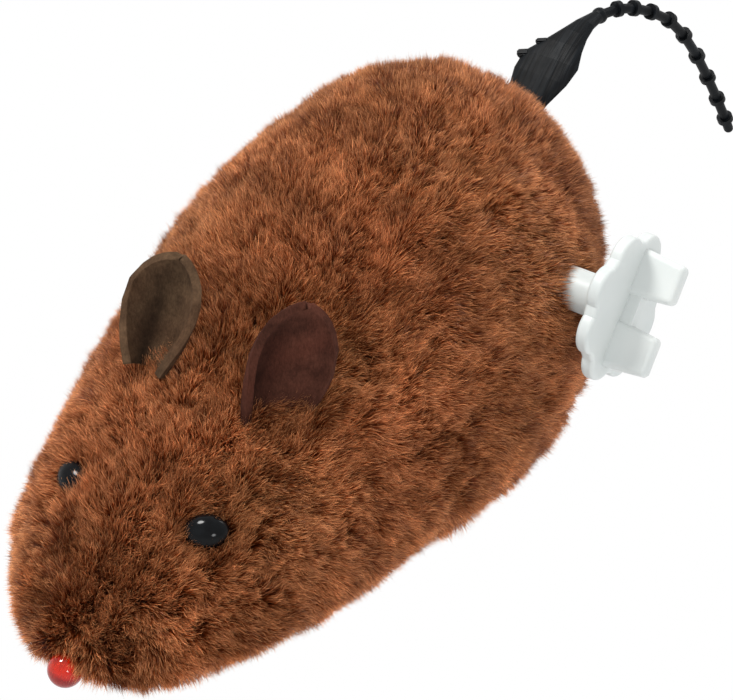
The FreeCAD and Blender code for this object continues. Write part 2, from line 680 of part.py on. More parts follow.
def neck_block(width, thickness, start, end):
    """A bar between two distances along the tail's neck, which slopes up to the rear."""
    first = V(*TAIL_NECK_START)
    along = (V(*TAIL_NECK_END) - first).normalize()
    bar = box((start, end), (-width / 2, width / 2), (-thickness / 2, thickness / 2))
    up = V(1, 0, 0).cross(along)
    bar.Placement = FreeCAD.Placement(first, FreeCAD.Rotation(along, V(-1, 0, 0), up, "XZY"))
    return bar


def tail():
    """A neck with a cross bar inside the shell, a flat blade and a ringed whip."""
    neck_length = (V(*TAIL_NECK_END) - V(*TAIL_NECK_START)).Length
    neck = neck_block(TAIL_NECK_WIDTH, TAIL_THICKNESS, 0, neck_length)
    anchor = neck_block(TAIL_ANCHOR[0], TAIL_ANCHOR[2], 0, TAIL_ANCHOR[1])
    sections = []
    for i, (x, y, z, width) in enumerate(TAIL_BLADE):
        before = V(*TAIL_BLADE[max(i - 1, 0)][:3])
        after = V(*TAIL_BLADE[min(i + 1, len(TAIL_BLADE) - 1)][:3])
        sections.append(blade_section(x, y, z, width, (after - before).normalize()))
    blade = Part.makeLoft(sections, True, True)
    return fused([neck, anchor, blade] + whip())


def tail_slot(start):
    """The slot for the tail's neck, from a distance along it."""
    play = 2 * TAIL_SLOT_PLAY
    return neck_block(TAIL_NECK_WIDTH + play, TAIL_THICKNESS + play, start, TAIL_SLOT_LENGTH)


# ---------------------------------------------------------------- cover and shell
def plush_cover():
    cover = above(body_layer(0.0).cut(body_layer(COVER_THICKNESS)), COVER_HEM)
    left_eye = bead(EYE_PLACE, EYE_INWARD, EYE_RADIUS, EYE_SHANK_LENGTH, POCKET_PLAY)
    cuts = [left_eye, mirrored(left_eye), tail_slot(0)] + [ear(name, POCKET_PLAY) for name in EARS]
    cuts.append(bead(NOSE_PLACE, BACKWARD, NOSE_RADIUS, NOSE_SHANK_LENGTH, POCKET_PLAY))
    cuts.append(drum(KEY_HOLE_RADIUS + POCKET_PLAY, (STEM_START, THROUGH), KEY_AXIS))
    return cover.cut(Part.makeCompound(cuts))


def body_shell():
    """The rigid shell under the cover, with a screw boss at each end for the base plate."""
    shell = above(body_layer(SHELL_OUTSIDE).cut(body_layer(SHELL_INSIDE)), SHELL_RIM)
    reach = above(body_layer(SHELL_INSIDE - BOSS_BITE), PLATE_TOP)
    bosses = [post(SHELL_BOSS_RADIUS, (0, THROUGH), place).common(reach) for place in SHELL_BOSS_PLACES]
    left_eye = shank(EYE_PLACE, EYE_INWARD, SHANK_HOLE_RADIUS, 2 * EYE_SHANK_LENGTH)
    cuts = [left_eye, mirrored(left_eye), tail_slot(TAIL_ANCHOR[1])]
    cuts.append(shank(NOSE_PLACE, BACKWARD, SHANK_HOLE_RADIUS, NOSE_SHANK_LENGTH))
    cuts.append(drum(KEY_HOLE_RADIUS, (STEM_START, THROUGH), KEY_AXIS))
    hole_top = PLATE_BOTTOM + SHELL_SCREW_LENGTH + SCREW_END_GAP
    cuts += [post(SCREW_HOLE_RADIUS, (0, hole_top), place) for place in SHELL_BOSS_PLACES]
    return fused([shell] + bosses).cut(Part.makeCompound(cuts))


# ---------------------------------------------------------------- all the nodes
def nodes():
    left_eye = bead(EYE_PLACE, EYE_INWARD, EYE_RADIUS, EYE_SHANK_LENGTH)
    left_wheel = drive_wheel()
    left_tyre = bevelled_ring(WHEEL_X, RIM_RADIUS, DRIVE_WHEEL_RADIUS, DRIVE_AXIS)
    shaft_end = CASE_HALF_WIDTH - END_PLAY
    axle_end = WHEEL_X[1] - AXLE_END_STEP
    pin_end = FORK_X[1] + FRONT_AXLE_END
    return {
        "plush_cover": plush_cover(),
        "body_shell": body_shell(),
        "ear_left": ear("ear_left"),
        "ear_right": ear("ear_right"),
        "eye_left": left_eye,
        "eye_right": mirrored(left_eye),
        "nose_bead": bead(NOSE_PLACE, BACKWARD, NOSE_RADIUS, NOSE_SHANK_LENGTH),
        "tail": tail(),
        "base_plate": base_plate(),
        "base_screws": Part.makeCompound(base_screws()),
        "case_left": case_half(1),
        "case_right": case_half(-1),
        "case_screws": Part.makeCompound(case_screws()),
        "mainspring": mainspring(),
        "spring_post": drum(SPRING_POST_RADIUS, (-CASE_HALF_WIDTH, SPRING_POST_END), SPRING_POST),
        "spring_arbor": spring_arbor(),
        "main_wheel": main_wheel(),
        "idler_gear": idler_gear(),
        "idler_shaft": drum(IDLER_SHAFT_RADIUS, (-shaft_end, shaft_end), IDLER_AXIS),
        "drive_pinion": drive_pinion(),
        "drive_axle": drum(AXLE_RADIUS, (-axle_end, axle_end), DRIVE_AXIS),
        "wheel_left": left_wheel,
        "wheel_right": mirrored(left_wheel),
        "tyre_left": left_tyre,
        "tyre_right": mirrored(left_tyre),
        "front_wheel": front_wheel(),
        "front_axle": drum(FRONT_AXLE_RADIUS, (-pin_end, pin_end), FRONT_AXIS),
        "winding_key": winding_key(),
    }


os.makedirs("parts", exist_ok=True)
for name, shape in nodes().items():
    bounds = shape.BoundBox
    lows = f"{bounds.XMin:7.2f} {bounds.YMin:7.2f} {bounds.ZMin:7.2f}"
    highs = f"{bounds.XMax:7.2f} {bounds.YMax:7.2f} {bounds.ZMax:7.2f}"
    print(f"{name:13s} {len(shape.Solids)} solids, valid {shape.isValid()}, from {lows} to {highs}")
    shape.exportStep(f"parts/{name}.step")
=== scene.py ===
import json
import math

import bmesh
import bpy
import numpy as np
from mathutils import Matrix, Vector
from mathutils.bvhtree import BVHTree
from mathutils.kdtree import KDTree


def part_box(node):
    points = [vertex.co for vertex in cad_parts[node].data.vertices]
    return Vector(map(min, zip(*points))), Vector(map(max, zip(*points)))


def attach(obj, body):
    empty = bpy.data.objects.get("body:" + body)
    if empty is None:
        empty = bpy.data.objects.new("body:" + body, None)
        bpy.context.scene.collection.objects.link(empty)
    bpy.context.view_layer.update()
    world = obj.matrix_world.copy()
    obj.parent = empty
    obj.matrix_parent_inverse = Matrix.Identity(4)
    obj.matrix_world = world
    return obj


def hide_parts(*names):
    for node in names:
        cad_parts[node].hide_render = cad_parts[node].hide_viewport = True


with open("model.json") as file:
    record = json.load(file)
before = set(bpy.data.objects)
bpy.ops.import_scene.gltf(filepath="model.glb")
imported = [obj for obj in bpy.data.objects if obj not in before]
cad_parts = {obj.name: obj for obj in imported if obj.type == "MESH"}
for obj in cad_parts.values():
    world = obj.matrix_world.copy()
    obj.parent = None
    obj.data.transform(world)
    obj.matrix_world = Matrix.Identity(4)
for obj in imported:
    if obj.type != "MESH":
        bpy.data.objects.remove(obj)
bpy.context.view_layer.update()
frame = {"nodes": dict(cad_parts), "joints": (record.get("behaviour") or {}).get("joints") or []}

# A plush wind-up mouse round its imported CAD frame. Metres, +Z up, nose at -Y, key on +X.

MM = 0.001
SEED = 8


# ------------------------------------------------------------------ places read from the frame
def joint_place(name):
    """The (x, y, z) place of a joint's axis, in metres."""
    return Vector(next(j["pos_m"] for j in frame["joints"] if j["name"] == name))


def bead_place(node, radius):
    """The centre of a bead's ball: it is the outer end of the node's box."""
    low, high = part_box(node)
    if node == "nose_bead":
        return Vector(((low.x + high.x) / 2, low.y + radius, (low.z + high.z) / 2))
    x = high.x - radius if node == "eye_left" else low.x + radius
    return Vector((x, low.y + radius, high.z - radius))


EYE_RADIUS = 1.7 * MM
NOSE_RADIUS = 1.75 * MM
STEM_RADIUS = 2.15 * MM

BODY_LOW, BODY_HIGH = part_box("plush_cover")
HEM = BODY_LOW.z
KEY_AXIS = joint_place("key_turn")
LEFT_EYE = bead_place("eye_left", EYE_RADIUS)
RIGHT_EYE = bead_place("eye_right", EYE_RADIUS)
NOSE = bead_place("nose_bead", NOSE_RADIUS)


# ------------------------------------------------------------------ material helpers
class Nodes:
    """A material's node tree with short calls to add and link nodes."""

    def __init__(self, name, colour):
        self.material = bpy.data.materials.new(name)
        self.material.use_nodes = True
        self.material.diffuse_color = (*colour, 1)
        self.tree = self.material.node_tree
        self.shader = self.tree.nodes["Principled BSDF"]

    def add(self, kind, **values):
        node = self.tree.nodes.new(kind)
        for key, value in values.items():
            setattr(node, key, value)
        return node

    def link(self, start, end):
        self.tree.links.new(start, end)

    def set(self, **values):
        """Sets the shader's own sockets, named with _ for a space."""
        for key, value in values.items():
            self.shader.inputs[key.replace("_", " ")].default_value = value

    def noise(self, scale, detail=3.0, roughness=0.5, stretch=(1, 1, 1)):
        """Noise over the object's own coordinates. Scale is in features per metre."""
        place = self.add("ShaderNodeTexCoord")
        shape = self.add("ShaderNodeMapping")
        shape.inputs["Scale"].default_value = stretch
        self.link(place.outputs["Object"], shape.inputs["Vector"])
        node = self.add("ShaderNodeTexNoise")
        node.inputs["Scale"].default_value = scale
        node.inputs["Detail"].default_value = detail
        node.inputs["Roughness"].default_value = roughness
        self.link(shape.outputs["Vector"], node.inputs["Vector"])
        return node.outputs["Fac"]

    def ramp(self, factor, low, high):
        """A colour ramp between two (position, colour or grey) stops."""
        node = self.add("ShaderNodeValToRGB")
        for element, (position, colour) in zip(node.color_ramp.elements, (low, high)):
            element.position = position
            element.color = (*colour, 1) if isinstance(colour, tuple) else (colour, colour, colour, 1)
        self.link(factor, node.inputs["Fac"])
        return node.outputs["Color"]

    def mix(self, factor, first, second, blend="MIX"):
        node = self.add("ShaderNodeMix", data_type="RGBA", blend_type=blend)
        for value, socket in ((factor, node.inputs[0]), (first, node.inputs[6]), (second, node.inputs[7])):
            if isinstance(value, bpy.types.NodeSocket):
                self.link(value, socket)
            else:
                socket.default_value = (*value, 1) if isinstance(value, tuple) else value
        return node.outputs[2]

    def colour(self, socket):
        self.link(socket, self.shader.inputs["Base Color"])

    def rough(self, factor, low, high):
        node = self.add("ShaderNodeMapRange")
        node.inputs["To Min"].default_value = low
        node.inputs["To Max"].default_value = high
        self.link(factor, node.inputs["Value"])
        self.link(node.outputs["Result"], self.shader.inputs["Roughness"])

    def bump(self, height, strength, distance):
        node = self.add("ShaderNodeBump")
        node.inputs["Strength"].default_value = strength
        node.inputs["Distance"].default_value = distance
        self.link(height, node.inputs["Height"])
        self.link(node.outputs["Normal"], self.shader.inputs["Normal"])


def srgb(red, green, blue):
    """A linear colour from 0-255 screen values."""
    shares = (red / 255, green / 255, blue / 255)
    return tuple(((c + 0.055) / 1.055) ** 2.4 if c > 10 / 255 else c / 12.92 for c in shares)


# ------------------------------------------------------------------ materials
def pile_material():
    """Fibre colour, with painted shade at the roots and painted highlights at the tips, comes from the
    strand_tint_and_painted_light attribute, broken up by soft patches.
    """
    m = Nodes("pile_fibre", srgb(120, 70, 42))
    tint = m.add("ShaderNodeAttribute", attribute_name="strand_tint_and_painted_light")
    patches = m.ramp(m.noise(160, 3, 0.6), (0.3, 0.72), (0.7, 1.15))
    m.colour(m.mix(1.0, tint.outputs["Color"], patches, "MULTIPLY"))
    m.set(Roughness=0.4, Specular_IOR_Level=0.24)
    return m.material


def backing_material():
    """Matt woven cloth that shows only in the gaps of the pile."""
    m = Nodes("pile_backing", srgb(60, 30, 16))
    m.colour(m.ramp(m.noise(1500, 4, 0.6), (0.3, srgb(44, 20, 9)), (0.7, srgb(88, 48, 26))))
    m.set(Roughness=0.95)
    m.bump(m.noise(2500, 2), 0.6, 0.2 * MM)
    return m.material


def suede_material(name, dark, light, flush):
    """Thin brushed suede: mottled, with a fine nap, worn lighter streaks and painted shade in the ear's
    crease.
    """
    m = Nodes(name, light)
    mottle = m.ramp(m.noise(420, 5, 0.65), (0.32, dark), (0.68, light))
    warm = m.mix(m.ramp(m.noise(150, 2, 0.5), (0.4, 0.0), (0.7, 0.6)), mottle, flush)
    nap = m.noise(5200, 3, 0.7, stretch=(1, 1, 0.35))
    napped = m.mix(0.6, warm, m.ramp(nap, (0.3, 0.5), (0.72, 1.4)), "MULTIPLY")
    # Painted shade along the ear's crease, from a colour attribute of the leaf.
    shade = m.add("ShaderNodeAttribute", attribute_name="painted_crease_shade")
    m.colour(m.mix(1.0, napped, shade.outputs["Color"], "MULTIPLY"))
    m.set(Roughness=0.95, Specular_IOR_Level=0.1)
    m.bump(nap, 0.6, 0.14 * MM)
    return m.material


def key_material():
    """White moulded plastic, slightly waxy."""
    m = Nodes("key_white", srgb(216, 220, 219))
    m.colour(m.ramp(m.noise(110, 3, 0.5), (0.3, srgb(204, 210, 209)), (0.7, srgb(217, 221, 219))))
    m.set(Roughness=0.42, Subsurface_Weight=0.2, Subsurface_Scale=0.8 * MM)
    m.set(Subsurface_Radius=(1.0, 0.95, 0.9))
    m.bump(m.noise(900, 2), 0.08, 0.1 * MM)
    return m.material


def eye_material():
    m = Nodes("bead_black", (0.004, 0.004, 0.005))
    m.colour(m.ramp(m.noise(700, 2), (0.35, (0.001, 0.001, 0.0015)), (0.75, (0.005, 0.006, 0.007))))
    m.set(Roughness=0.12, Specular_IOR_Level=0.16)
    return m.material


def nose_material():
    """Clear red bead: saturated, lit through."""
    m = Nodes("bead_red", srgb(220, 30, 12))
    m.colour(m.ramp(m.noise(500, 2), (0.3, srgb(205, 12, 4)), (0.75, srgb(250, 66, 24))))
    m.set(Roughness=0.05, Transmission_Weight=0.7, IOR=1.49)
    return m.material


def tail_material():
    """Satin black soft plastic, a little blue, with fine ribs along the blade."""
    m = Nodes("tail_black", srgb(28, 32, 37))
    ribs = m.noise(2600, 2, 0.5, stretch=(1, 0.06, 0.06))
    m.colour(m.ramp(ribs, (0.35, srgb(3, 4, 6)), (0.7, srgb(17, 21, 25))))
    m.rough(m.noise(1200, 3), 0.4, 0.6)
    m.set(Specular_IOR_Level=0.14)
    m.bump(ribs, 0.5, 0.2 * MM)
    return m.material


def plastic_material(name, dark, light, roughness):
    """Moulded plastic with a faint colour drift and a fine eroded texture."""
    m = Nodes(name, light)
    m.colour(m.ramp(m.noise(130, 3), (0.3, dark), (0.7, light)))
    m.rough(m.noise(700, 3), roughness - 0.07, roughness + 0.1)
    m.bump(m.noise(1800, 3), 0.15, 0.08 * MM)
    return m.material


def rubber_material():
    m = Nodes("tyre_black", srgb(26, 26, 27))
    m.colour(m.ramp(m.noise(400, 4), (0.3, srgb(20, 20, 21)), (0.72, srgb(48, 47, 46))))
    m.rough(m.noise(900, 3), 0.7, 0.9)
    m.bump(m.noise(4000, 3), 0.3, 0.1 * MM)
    return m.material


def steel_material(name, dark, light):
    """Metal with fine brush marks across its length."""
    m = Nodes(name, light)
    brushed = m.noise(900, 4, 0.6, stretch=(0.15, 1, 1))
    m.colour(m.ramp(brushed, (0.3, dark), (0.7, light)))
    m.set(Metallic=1.0)
    m.rough(brushed, 0.22, 0.4)
    m.bump(brushed, 0.1, 0.05 * MM)
    return m.material


MATERIALS = {
    "pile": pile_material(),
    "backing": backing_material(),
    "suede_left": suede_material("suede_red_brown", srgb(50, 27, 20), srgb(86, 51, 40), srgb(92, 50, 38)),
    "suede_right": suede_material("suede_grey_brown", srgb(52, 38, 27), srgb(100, 78, 58), srgb(82, 58, 42)),
    "key": key_material(),
    "eye": eye_material(),
    "nose": nose_material(),
    "tail": tail_material(),
    "shell": plastic_material("shell_brown", srgb(70, 48, 36), srgb(98, 70, 54), 0.45),
    "base": plastic_material("base_black", srgb(24, 23, 22), srgb(40, 39, 37), 0.5),
    "case": plastic_material("case_natural", srgb(205, 205, 198), srgb(226, 226, 220), 0.4),
    "gear": plastic_material("gear_natural", srgb(222, 216, 196), srgb(238, 233, 218), 0.35),
    "wheel": plastic_material("wheel_black", srgb(24, 24, 25), srgb(42, 42, 43), 0.4),
    "tyre": rubber_material(),
    "steel": steel_material("steel_bright", (0.42, 0.42, 0.43), (0.62, 0.62, 0.63)),
    "spring": steel_material("steel_blued", (0.10, 0.12, 0.19), (0.26, 0.27, 0.32)),
}


# ------------------------------------------------------------------ mesh and array helpers
def paint(obj, material):
    obj.data.materials.clear()
    obj.data.materials.append(MATERIALS[material])


def placed(mesh, material):
    """A painted object in the scene, with the name of its mesh."""
    obj = bpy.data.objects.new(mesh.name, mesh)
    bpy.context.scene.collection.objects.link(obj)
    paint(obj, material)
    return obj


def smoothed(mesh):
    mesh.polygons.foreach_set("use_smooth", np.ones(len(mesh.polygons), bool))


def sheet_faces(rows, columns):
    """The quads of a grid of points, as (row, column) of the first corner and four indices."""
    for i in range(rows - 1):
        for j in range(columns - 1):
            corner = i * columns + j
            yield i, j, (corner, corner + 1, corner + columns + 1, corner + columns)


def sheet_object(name, grid, faces, material):
    """A smooth sheet through a grid of points."""
    mesh = bpy.data.meshes.new(name)
    mesh.from_pydata([tuple(v) for v in grid.reshape(-1, 3)], [], faces)
    mesh.validate()
    smoothed(mesh)
    return placed(mesh, material)


def point_colours(mesh, name, rgba):
    attribute = mesh.color_attributes.new(name, "FLOAT_COLOR", "POINT")
    attribute.data.foreach_set("color", rgba.astype(np.float32).ravel())


def unit(vectors):
    return vectors / np.maximum(np.linalg.norm(vectors, axis=-1, keepdims=True), 1e-12)


def dot(a, b):
    return (a * b).sum(-1, keepdims=True)


def fade(distance, reach):
    """One at no distance, falling evenly to nothing at the reach."""
    return np.clip(1 - distance / reach, 0, 1)


def wave_field(rng, places, wavelength, components=10):
    """Smooth noise of about unit size that varies over a wavelength."""
    total = np.zeros(len(places))
    for _ in range(components):
        way = unit(rng.normal(size=3)) * 2 * math.pi / (wavelength * rng.uniform(0.6, 1.5))
        total += np.sin(places @ way + rng.uniform(0, 2 * math.pi))
    return total / math.sqrt(components / 2)


# ------------------------------------------------------------------ the outside of the pile
SKIN_ROWS = 150  # nose to rump
SKIN_COLUMNS = 260  # all the way round, from underneath and over the back
CAP = 0.2  # share of the rows that fan out over the nose, and over the rump
SPINE_INSET = (0.13, 0.2)  # share of the body's length from its ends to the spine's
SPINE_HEIGHT = (4.6 * MM, 10.5 * MM)  # of the spine's ends over the hem
FAR = 0.1  # a distance that is well outside the body
HEM_DROP = 0.4 * MM  # how far below the hem the skin is closed underneath
MEDIAN_REACH = 8  # cells
POCKET_DEPTH = 0.3 * MM  # a step of more than this is a pocket or a hole in the cover
SMOOTHING_ROUNDS = 6
POLE_ROWS = 4  # rows near each end that share one way out


def median_filtered(field, reach):
    padded = np.pad(field, reach, mode="edge")
    rows, columns = field.shape
    offsets = range(0, 2 * reach + 1, 2)
    shifted = [padded[i : i + rows, j : j + columns] for i in offsets for j in offsets]
    return np.median(np.stack(shifted), axis=0)


def spine():
    """A point inside the body for each row of the skin, and its turn from ahead to the rear."""
    along = np.arange(SKIN_ROWS) / (SKIN_ROWS - 1)
    share = np.clip((along - CAP) / (1 - 2 * CAP), 0, 1)[:, None]
    length = BODY_HIGH.y - BODY_LOW.y
    front = np.array((0, BODY_LOW.y + SPINE_INSET[0] * length, HEM + SPINE_HEIGHT[0]))
    rear = np.array((0, BODY_HIGH.y - SPINE_INSET[1] * length, HEM + SPINE_HEIGHT[1]))
    turns = math.pi / 2 * (np.minimum(along / CAP, 1) + np.maximum((along - 1 + CAP) / CAP, 0))
    return front + (rear - front) * share, turns[:, None]


def skin_grid():
    """Points of a smooth grid on the outside of the CAD cover, without its pockets and holes."""
    cover = frame["nodes"]["plush_cover"].data
    tree = BVHTree.FromPolygons([v.co for v in cover.vertices], [p.vertices for p in cover.polygons])
    origins, turns = spine()
    rounds = np.linspace(-math.pi / 2, 1.5 * math.pi, SKIN_COLUMNS)[None]
    ahead = -np.cos(turns) * np.ones_like(rounds)
    directions = np.stack([np.sin(turns) * np.cos(rounds), ahead, np.sin(turns) * np.sin(rounds)], -1)
    reach = np.full((SKIN_ROWS, SKIN_COLUMNS), np.nan)
    for i, origin in enumerate(origins):
        start = Vector(origin)
        for j in range(SKIN_COLUMNS):
            d = Vector(directions[i, j])
            hit, normal, _, distance = tree.ray_cast(start + d * FAR, -d)
            if hit is not None and normal.dot(d) > 0 and distance < FAR:
                reach[i, j] = FAR - distance
            if d.z < -0.05:
                to_floor = (start.z - HEM + HEM_DROP) / -d.z
                reach[i, j] = np.nanmin([reach[i, j], to_floor])
    for row in reach:
        good = np.isfinite(row)
        row[~good] = np.interp(np.flatnonzero(~good), np.flatnonzero(good), row[good])
    smooth = median_filtered(reach, MEDIAN_REACH)
    reach = np.where(np.abs(reach - smooth) > POCKET_DEPTH, smooth, reach)
    for _ in range(SMOOTHING_ROUNDS):
        padded = np.pad(reach, 1, mode="edge")
        reach = (padded[:-2, 1:-1] + padded[2:, 1:-1] + padded[1:-1, :-2] + padded[1:-1, 2:] + 4 * reach) / 8
    return origins[:, None] + directions * reach[..., None]


def outward_normals():
    """The way out of the skin at each grid point, evened out where the rows meet in a point."""
    normals = unit(np.cross(ALONG, AROUND))
    if normals[SKIN_ROWS // 2, SKIN_COLUMNS // 2, 2] < 0:
        normals = -normals
    normals[:POLE_ROWS] = unit(normals[POLE_ROWS].mean(0) + 0.5 * normals[:POLE_ROWS])
    normals[-POLE_ROWS:] = unit(normals[-POLE_ROWS - 1].mean(0) + 0.5 * normals[-POLE_ROWS:])
    return normals


SKIN = skin_grid()
ALONG = np.gradient(SKIN, axis=0)
AROUND = np.gradient(SKIN, axis=1)
SKIN_NORMAL = outward_normals()


def on_grid(field, rows, columns):
    """Bilinear values of a grid field at fractional rows and columns."""
    i = np.clip(rows.astype(int), 0, SKIN_ROWS - 2)
    j = np.clip(columns.astype(int), 0, SKIN_COLUMNS - 2)
    a = (rows - i)[:, None]
    b = (columns - j)[:, None]
    near = field[i, j] * (1 - b) + field[i, j + 1] * b
    further = field[i + 1, j] * (1 - b) + field[i + 1, j + 1] * b
    return near * (1 - a) + further * a


def sample_skin(rng, count):
    """Evenly scattered (rows, columns) over the skin above the hem."""
    area = np.linalg.norm(np.cross(ALONG, AROUND), axis=-1)
    area[SKIN[..., 2] < HEM] = 0
    chance = (area[:-1, :-1] / area[:-1, :-1].sum()).ravel()
    cells = rng.choice(chance.size, size=count, p=chance)
    rows = cells // (SKIN_COLUMNS - 1) + rng.random(count)
    columns = cells % (SKIN_COLUMNS - 1) + rng.random(count)
    return rows, columns


# ------------------------------------------------------------------ backing cloth
PILE_DEPTH = 2.0 * MM  # from the backing cloth to the outside of the pile
CLOTH_STRIDE = (3, 4)  # rows and columns of the skin in one cell of the cloth
CLOTH_EDGE = 0.2 * MM  # height of the cloth's edge over the hem


def backing():
    """The cloth that the pile grows from, as a thin sheet that is open underneath."""
    every_row, every_column = CLOTH_STRIDE
    grid = (SKIN - SKIN_NORMAL * PILE_DEPTH)[::every_row, ::every_column]
    low = SKIN[::every_row, ::every_column, 2] < HEM + CLOTH_EDGE
    grid[..., 2] = np.maximum(grid[..., 2], HEM + CLOTH_EDGE)
    faces = [face for i, j, face in sheet_faces(*grid.shape[:2]) if not low[i : i + 2, j : j + 2].any()]
    cloth = sheet_object("backing_cloth", grid, faces, "backing")
    work = bmesh.new()
    work.from_mesh(cloth.data)
    bmesh.ops.remove_doubles(work, verts=work.verts, dist=0.02 * MM)
    bmesh.ops.delete(work, geom=[v for v in work.verts if not v.link_faces], context="VERTS")
    bmesh.ops.recalc_face_normals(work, faces=work.faces)
    work.to_mesh(cloth.data)
    work.free()
    return cloth


# ------------------------------------------------------------------ eyes
EYE_LONG = 1.3  # how much longer than tall the eye beads are
EYE_THICK = 0.75  # and how thick for their height
EYE_SLANT = (0.84, 0.54)  # outwards and to the rear along the bead
EYE_LIFT = {"eye_left": 0.2 * MM, "eye_right": -0.8 * MM}  # the far one is sewn deeper


def eye_frame(place, side):
    """The three axes of an eye bead: along its length, up, and out of the head."""
    near = ((SKIN - np.array(place)) ** 2).sum(-1)
    out = Vector(SKIN_NORMAL[np.unravel_index(np.argmin(near), near.shape)])
    along = Vector((EYE_SLANT[0] * side, EYE_SLANT[1], 0))
    along = (along - out * along.dot(out)).normalized()
    return Matrix((along, out.cross(along), out)).transposed()


LEFT_FRAME = eye_frame(LEFT_EYE, 1)
RIGHT_FRAME = eye_frame(RIGHT_EYE, -1)


def eye_bead(node, place, axes):
    """A glossy oval bead, flat against the head."""
    work = bmesh.new()
    bmesh.ops.create_uvsphere(work, u_segments=48, v_segments=32, radius=EYE_RADIUS)
    for v in work.verts:
        shaped = Vector((v.co.x * EYE_LONG, v.co.y, v.co.z * EYE_THICK))
        v.co = place + axes.col[2] * EYE_LIFT[node] + axes @ shaped
    mesh = bpy.data.meshes.new(f"bead_{node}")
    work.to_mesh(mesh)
    work.free()
    smoothed(mesh)
    return placed(mesh, "eye")


# ------------------------------------------------------------------ pile
SHARE = 1.0  # share of the pile that is made
STRANDS = int(600000 * SHARE)
PILE_PIECES = 16
STEPS = 3  # segments in a strand
STRAND_WIDTH = (0.06 if SHARE == 1.0 else 0.09) * MM
WIDTH_SPREAD = (0.75, 1.25)
WIDTHS = np.array([0.8, 1.0, 0.75, 0.0])  # share of the width, from root to tip

FLANK_X = 14 * MM  # from the middle of the body to its flanks
RUMP_FRONT_Y = -6 * MM  # where the rump begins to tell
RUMP_RUN = 32 * MM  # and how far behind that it tells fully

COMB_OUT = 0.55  # how far the pile lies outwards on the flanks, to one to the rear
COMB_DOWN = 0.25
HEM_COMB_DOWN = 1.1  # as much more, right at the floor
HEM_COMB_HEIGHT = 8 * MM
SWIRL_X = 0.28
SWIRL_Y = 0.18
SWIRL_Z = 0.35

PILE_LENGTH = 2.5 * MM
LENGTH_DRIFT = 0.2 * MM
LENGTH_SPREAD = (0.72, 1.1)
RUMP_LONGER = 0.06
HEM_SHORTER = 0.1
HEM_SHORT_HEIGHT = 9 * MM
FAR_FLANK_SHORTER = 0.1
LEAN = 27.0  # degrees from upright
LEAN_DRIFT = 7.0
LEAN_SCATTER = 13.0
LEAN_LIMITS = (0.05, 1.2)  # radians
STRAY_SHARE = 0.06  # of the strands stand apart from their clump
STRAY_LEAN = (10.0, 45.0)
YAW_SCATTER = 0.42  # radians from the way that the pile is combed
STRAY_YAW = 0.6
MIDDLE_RISE = 0.465  # of a strand's length, and how far its middle leans with it
MIDDLE_REACH = 0.252
TIP_JITTER = 0.16 * MM
MIDDLE_JITTER = 0.2 * MM
LOWEST_TIP = 0.35 * MM  # over the floor

SKIN_AREA = 6200 * MM * MM  # about the area of the pile, for the number of clumps
CLUMP_SPACING = 0.5 * MM
CLUMP_PULL = 0.34
CLUMP_PULL_DRIFT = 0.2
CLUMP_PULL_LIMITS = (0.05, 0.62)
STRAY_PULL = 0.1  # share of the pull that a stray strand feels
CLUMP_SPREAD = 0.25  # how far a clump's tips keep their roots' offsets

KEY_MOUND = 2.8 * MM  # how high the fabric bunches up round the key
KEY_MOUND_RADIUS = 6.5 * MM
KEY_SKIN_X = 18 * MM  # where the key's axis leaves the skin
KEY_SIDE_X = 8 * MM  # the stem parts only the pile beyond this
STEM_GAP = 0.1 * MM  # bare ring round the key's stem
STEM_PARTING = 3 * MM  # how far out the stem parts the pile
BEAD_PARTING = 1.6 * MM
BEAD_MOUND = 3.5 * MM  # how far out the pile is longer round a bead

# Dark roots are partly painted shade deep in the pile, and pale tips partly a painted highlight.
ROOT_COLOUR_AND_SHADE = np.array(srgb(40, 12, 2))
MIDDLE_COLOUR = np.array(srgb(133, 57, 18))
TIP_COLOUR_AND_HIGHLIGHT = np.array(srgb(252, 177, 119))
TONE = 0.52  # how light a strand is, and how far that varies by clump, strand and place
CLUMP_TONE = 0.2
STRAND_TONE = 0.32
PLACE_TONE = 0.1
GLINT_SHARE = 0.12  # of the strands have paler tips, a painted glint
GLINT = 0.8  # as much brighter, a painted glint
RUMP_PAINTED_SHADE = 0.2
RED_DRIFT = 0.03

# Each bead's centre, radius, long axis, how long it is for its height, and how far it clears
# and parts the pile.
BEADS = [
    (LEFT_EYE, EYE_RADIUS, LEFT_FRAME.col[0], EYE_LONG, 0.85, 0.6),
    (RIGHT_EYE, EYE_RADIUS, RIGHT_FRAME.col[0], EYE_LONG, 0.5, 0.0),
    (NOSE, NOSE_RADIUS, (1, 0, 0), 1, 0.6, 0.3),
]


def rump_share(surface):
    """Nothing on the head and shoulders, rising to one on the rump."""
    return np.clip((surface[:, 1] - RUMP_FRONT_Y) / RUMP_RUN, 0, 1)


def combed(places, normals, rng):
    """The way that the pile lies: to the rear and outwards down the flanks, with slow swirls."""
    sideways = np.clip(places[:, 0] / FLANK_X, -1, 1)
    way = np.stack([COMB_OUT * sideways, np.ones(len(places)), np.zeros(len(places))], -1)
    way[:, 0] += SWIRL_X * wave_field(rng, places, 26 * MM)
    way[:, 2] += SWIRL_Z * wave_field(rng, places, 22 * MM) - COMB_DOWN
    way[:, 2] -= HEM_COMB_DOWN * fade(places[:, 2], HEM_COMB_HEIGHT)
    way[:, 1] += SWIRL_Y * wave_field(rng, places, 18 * MM)
    return unit(way - dot(way, normals) * normals)


def raised_round_key(surface, normals):
    from_key = np.linalg.norm(surface - np.array([KEY_SKIN_X, KEY_AXIS.y, KEY_AXIS.z]), axis=1)
    return surface + normals * (KEY_MOUND * np.exp(-((from_key / KEY_MOUND_RADIUS) ** 2)))[:, None]


